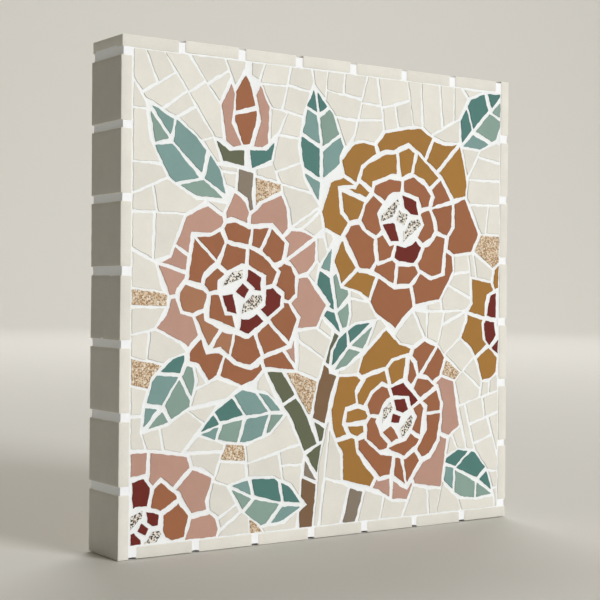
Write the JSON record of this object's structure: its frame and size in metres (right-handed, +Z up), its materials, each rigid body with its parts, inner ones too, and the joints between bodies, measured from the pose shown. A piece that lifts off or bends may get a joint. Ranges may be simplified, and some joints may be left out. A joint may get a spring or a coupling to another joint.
{
  "type": "mosaic wall panel",
  "caption": "Square wall panel with a floral mosaic of hand-nipped porcelain shards, white grout and a frame of whole tiles set on edge.",
  "frame": {"origin": "centre of the flat back, where it meets the wall", "axes": "+Y points out of the back, into the wall; the mosaic faces -Y; +Z is up; +X is to the right, seen from the front"},
  "size_m": [0.2022, 0.025, 0.2022],
  "materials": {
    "cream_porcelain": "matte",
    "white_grout": "matte",
    "dusty_pink_porcelain": "matte",
    "terracotta_porcelain": "matte",
    "ochre_porcelain": "matte",
    "sage_porcelain": "matte",
    "bark_porcelain": "matte",
    "plywood": "matte"
  },
  "bodies": {
    "root": {"background": "cream_porcelain", "board": "plywood", "bud": "dusty_pink_porcelain", "corner_bloom": "dusty_pink_porcelain", "edge_bloom": "ochre_porcelain", "frame_tile_bottom_1": "cream_porcelain", "frame_tile_bottom_2": "cream_porcelain", "frame_tile_bottom_3": "cream_porcelain", "frame_tile_bottom_4": "cream_porcelain", "frame_tile_bottom_5": "cream_porcelain", "frame_tile_bottom_6": "cream_porcelain", "frame_tile_bottom_7": "cream_porcelain", "frame_tile_left_1": "cream_porcelain", "frame_tile_left_2": "cream_porcelain", "frame_tile_left_3": "cream_porcelain", "frame_tile_left_4": "cream_porcelain", "frame_tile_left_5": "cream_porcelain", "frame_tile_left_6": "cream_porcelain", "frame_tile_left_7": "cream_porcelain", "frame_tile_right_1": "cream_porcelain", "frame_tile_right_2": "cream_porcelain", "frame_tile_right_3": "cream_porcelain", "frame_tile_right_4": "cream_porcelain", "frame_tile_right_5": "cream_porcelain", "frame_tile_right_6": "cream_porcelain", "frame_tile_right_7": "cream_porcelain", "frame_tile_top_1": "cream_porcelain", "frame_tile_top_2": "cream_porcelain", "frame_tile_top_3": "cream_porcelain", "frame_tile_top_4": "cream_porcelain", "frame_tile_top_5": "cream_porcelain", "frame_tile_top_6": "cream_porcelain", "frame_tile_top_7": "cream_porcelain", "leaf_bottom": "sage_porcelain", "leaf_inner": "sage_porcelain", "leaf_left": "sage_porcelain", "leaf_low_left": "sage_porcelain", "leaf_low_right": "sage_porcelain", "leaf_middle": "sage_porcelain", "leaf_top": "sage_porcelain", "leaf_top_left": "sage_porcelain", "leaf_top_right": "sage_porcelain", "ochre_bloom": "ochre_porcelain", "pink_bloom": "dusty_pink_porcelain", "side_grout": "white_grout", "stem_bud": "bark_porcelain", "stem_left": "bark_porcelain", "stem_low": "bark_porcelain", "stem_tall": "bark_porcelain", "terracotta_bloom": "terracotta_porcelain"}
  },
  "joints": []
}
